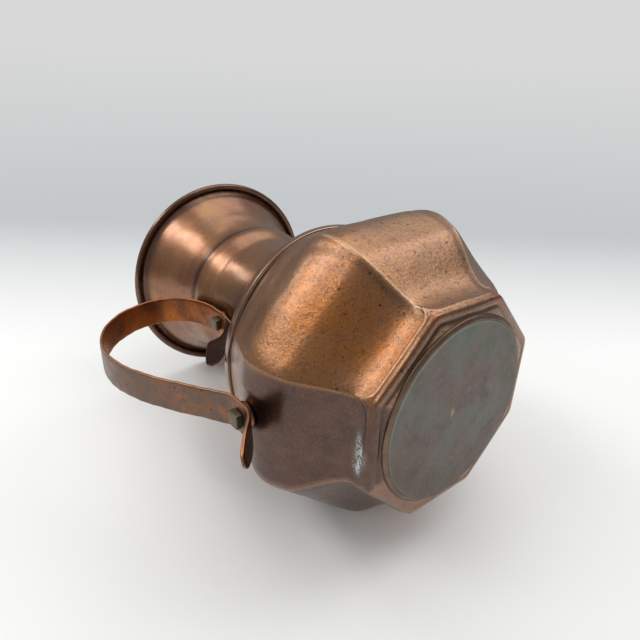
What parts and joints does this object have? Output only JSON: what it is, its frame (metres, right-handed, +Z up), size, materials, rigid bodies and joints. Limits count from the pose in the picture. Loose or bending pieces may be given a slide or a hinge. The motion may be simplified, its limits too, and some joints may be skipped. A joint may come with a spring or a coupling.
{
  "type": "water jug",
  "caption": "Eight-sided hammered copper water jug with a spun neck, flared rolled mouth and a bolted strap handle, for carrying and pouring water.",
  "frame": {"origin": "middle of the base plate's underside, on the surface the jug stands on", "axes": "+Z up along the jug's axis to the mouth; the handle is on the -X side; Y is to the jug's side, through the middle of a panel"},
  "size_m": [0.1892, 0.1526, 0.22],
  "materials": {
    "body_copper": "aged copper sheet, hammered into panels, brown patina, semi-gloss with fine pits",
    "neck_copper": "spun copper sheet, golden brown, smooth and glossy with fine turning lines",
    "base_copper": "dull grey-green oxidised copper disc with faint verdigris",
    "strap_copper": "flat copper strap, orange-brown, worn bright along the edges",
    "wire_copper": "drawn copper wire, dark brown",
    "solder": "dull tin solder with copper bloom",
    "bolt_metal": "tarnished brass, olive-grey, worn corners",
    "nut_metal": "tarnished brass, olive-grey",
    "washer_copper": "stamped copper, brown, semi-gloss"
  },
  "bodies": {
    "root": {"base_plate": "base_copper", "base_solder_seam": "solder", "body_shell": "body_copper", "handle_strap": "strap_copper", "lower_bolt": "bolt_metal", "lower_nut": "nut_metal", "lower_spacer": "washer_copper", "lower_washer": "washer_copper", "neck_collar": "neck_copper", "rim_wire": "wire_copper", "shoulder_solder_seam": "solder", "upper_bolt": "bolt_metal", "upper_nut": "nut_metal", "upper_spacer": "washer_copper", "upper_washer": "washer_copper"}
  },
  "joints": []
}
